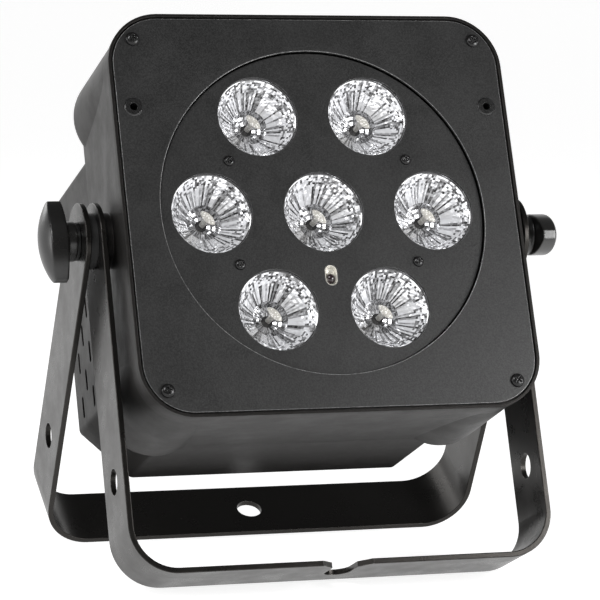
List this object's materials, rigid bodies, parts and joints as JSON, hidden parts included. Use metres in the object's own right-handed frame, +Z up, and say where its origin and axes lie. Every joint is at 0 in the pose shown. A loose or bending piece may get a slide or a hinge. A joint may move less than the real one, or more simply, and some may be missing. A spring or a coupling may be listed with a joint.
{
  "type": "par can light",
  "caption": "Flat square LED par light with round lenses in a disc, tilting between two U brackets that spread into a floor stand, clamped by wing knobs.",
  "frame": {"origin": "on the floor under the middle of the whole box, with the lamp standing on its two spread brackets", "axes": "+Z up, the lamp shines towards -Y with its face tilted up, +X along the pivot axis to the right when looking along +Y"},
  "size_m": [0.2736, 0.2312, 0.2789],
  "materials": {
    "housing_plastic": "fine moulded grain",
    "panel_paint": "fine black powder coat",
    "bracket_paint": "satin black powder coat",
    "lens_clear": "polished clear acrylic",
    "holder_plastic": "black moulded",
    "black_screw": "black oxide",
    "insert_metal": "dark plated",
    "receiver_dark": "dark infrared filter",
    "bezel_clear": "bright",
    "led_phosphor": "phosphor under silicone",
    "board_white": "white solder mask",
    "sink_aluminium": "as extruded",
    "post_steel": "zinc plated",
    "zinc_steel": "zinc plated sheet",
    "circuit_board": "green solder mask",
    "component_black": "moulded parts",
    "fan_plastic": "glass filled nylon",
    "rear_paint": "fine black powder coat",
    "window_smoke": "smoked acrylic",
    "button_plastic": "satin",
    "socket_plastic": "black nylon",
    "socket_metal": "black chrome on die-cast zinc",
    "eye_steel": "zinc plated",
    "spacer_plastic": "black nylon",
    "pad_rubber": "matte",
    "knob_plastic": "semi-gloss black",
    "stud_steel": "zinc plated",
    "washer_black": "black oxide"
  },
  "bodies": {
    "lamp": {"housing": "housing_plastic", "front_panel": "panel_paint", "lens_plate": "panel_paint", "lens_1": "lens_clear", "lens_2": "lens_clear", "lens_3": "lens_clear", "lens_4": "lens_clear", "lens_5": "lens_clear", "lens_6": "lens_clear", "lens_7": "lens_clear", "lens_holder_1": "holder_plastic", "lens_holder_2": "holder_plastic", "lens_holder_3": "holder_plastic", "lens_holder_4": "holder_plastic", "lens_holder_5": "holder_plastic", "lens_holder_6": "holder_plastic", "lens_holder_7": "holder_plastic", "front_panel_screws": "black_screw", "lens_plate_screws": "black_screw", "rear_panel_screws": "black_screw", "accessory_inserts": "insert_metal", "thread_inserts": "insert_metal", "remote_receiver": "receiver_dark", "receiver_bezel": "bezel_clear", "led_emitters": "led_phosphor", "led_board": "board_white", "heat_sink": "sink_aluminium", "lens_plate_posts": "post_steel", "chassis_posts": "post_steel", "chassis_plate": "zinc_steel", "power_supply": "zinc_steel", "driver_board": "circuit_board", "display_board": "circuit_board", "driver_components": "component_black", "fan_frame": "fan_plastic", "rear_panel": "rear_paint", "display_window": "window_smoke", "mains_inlet": "socket_plastic", "mains_outlet": "socket_plastic", "data_in_socket": "socket_metal", "data_out_socket": "socket_metal", "safety_eye": "eye_steel", "friction_pads": "pad_rubber"},
    "front_bracket": {"front_bracket": "bracket_paint", "bracket_spacers": "spacer_plastic"},
    "rear_bracket": {"rear_bracket": "bracket_paint"},
    "washer_left": {"clamp_washer_left": "washer_black"},
    "washer_right": {"clamp_washer_right": "washer_black"},
    "knob_left": {"knob_left": "knob_plastic", "clamp_stud_left": "stud_steel"},
    "knob_right": {"knob_right": "knob_plastic", "clamp_stud_right": "stud_steel"},
    "fan_rotor": {"fan_rotor": "fan_plastic"},
    "data_latch": {"data_out_latch": "button_plastic"},
    "fuse_drawer": {"fuse_drawer": "socket_plastic"},
    "button_1": {"button_1": "button_plastic"},
    "button_2": {"button_2": "button_plastic"},
    "button_3": {"button_3": "button_plastic"},
    "button_4": {"button_4": "button_plastic"}
  },
  "joints": [
    {"name": "front_bracket_tilt", "type": "hinge", "parent": "lamp", "child": "front_bracket", "pos_m": [0, -0.03064, 0.16605], "axis": [1, 0, 0], "range_deg": [-160, 50]},
    {"name": "rear_bracket_tilt", "type": "hinge", "parent": "lamp", "child": "rear_bracket", "pos_m": [0, -0.03064, 0.16605], "axis": [1, 0, 0], "range_deg": [-50, 155]},
    {"name": "washer_left_slide", "type": "slide", "parent": "lamp", "child": "washer_left", "axis": [-1, 0, 0], "range_m": [0, 0.0025]},
    {"name": "knob_left_turn", "type": "hinge", "parent": "washer_left", "child": "knob_left", "pos_m": [0, -0.03064, 0.16605], "axis": [-1, 0, 0], "range_deg": [0, 720]},
    {"name": "washer_right_slide", "type": "slide", "parent": "lamp", "child": "washer_right", "axis": [1, 0, 0], "range_m": [0, 0.0025]},
    {"name": "knob_right_turn", "type": "hinge", "parent": "washer_right", "child": "knob_right", "pos_m": [0, -0.03064, 0.16605], "axis": [1, 0, 0], "range_deg": [0, 720]},
    {"name": "fan_spin", "type": "hinge", "parent": "lamp", "child": "fan_rotor", "pos_m": [0, 0.00081, 0.15334], "axis": [0, -0.9121, 0.4099], "continuous": true},
    {"name": "button_1_press", "type": "slide", "parent": "lamp", "child": "button_1", "axis": [0, -0.9121, 0.4099], "range_m": [0, 0.0006], "stiffness_N_per_m": 400, "springref_m": -0.0005},
    {"name": "button_2_press", "type": "slide", "parent": "lamp", "child": "button_2", "axis": [0, -0.9121, 0.4099], "range_m": [0, 0.0006], "stiffness_N_per_m": 400, "springref_m": -0.0005},
    {"name": "button_3_press", "type": "slide", "parent": "lamp", "child": "button_3", "axis": [0, -0.9121, 0.4099], "range_m": [0, 0.0006], "stiffness_N_per_m": 400, "springref_m": -0.0005},
    {"name": "button_4_press", "type": "slide", "parent": "lamp", "child": "button_4", "axis": [0, -0.9121, 0.4099], "range_m": [0, 0.0006], "stiffness_N_per_m": 400, "springref_m": -0.0005},
    {"name": "data_latch_press", "type": "slide", "parent": "lamp", "child": "data_latch", "axis": [0, -0.9121, 0.4099], "range_m": [0, 0.0015], "stiffness_N_per_m": 600, "springref_m": -0.0006},
    {"name": "fuse_drawer_pull", "type": "slide", "parent": "lamp", "child": "fuse_drawer", "axis": [0, 0.9121, -0.4099], "range_m": [0, 0.018]}
  ],
  "couplings": [
    {"joint": "washer_left_slide", "follows": "knob_left_turn", "m_per_rad": 0.00019894},
    {"joint": "washer_right_slide", "follows": "knob_right_turn", "m_per_rad": 0.00019894}
  ]
}
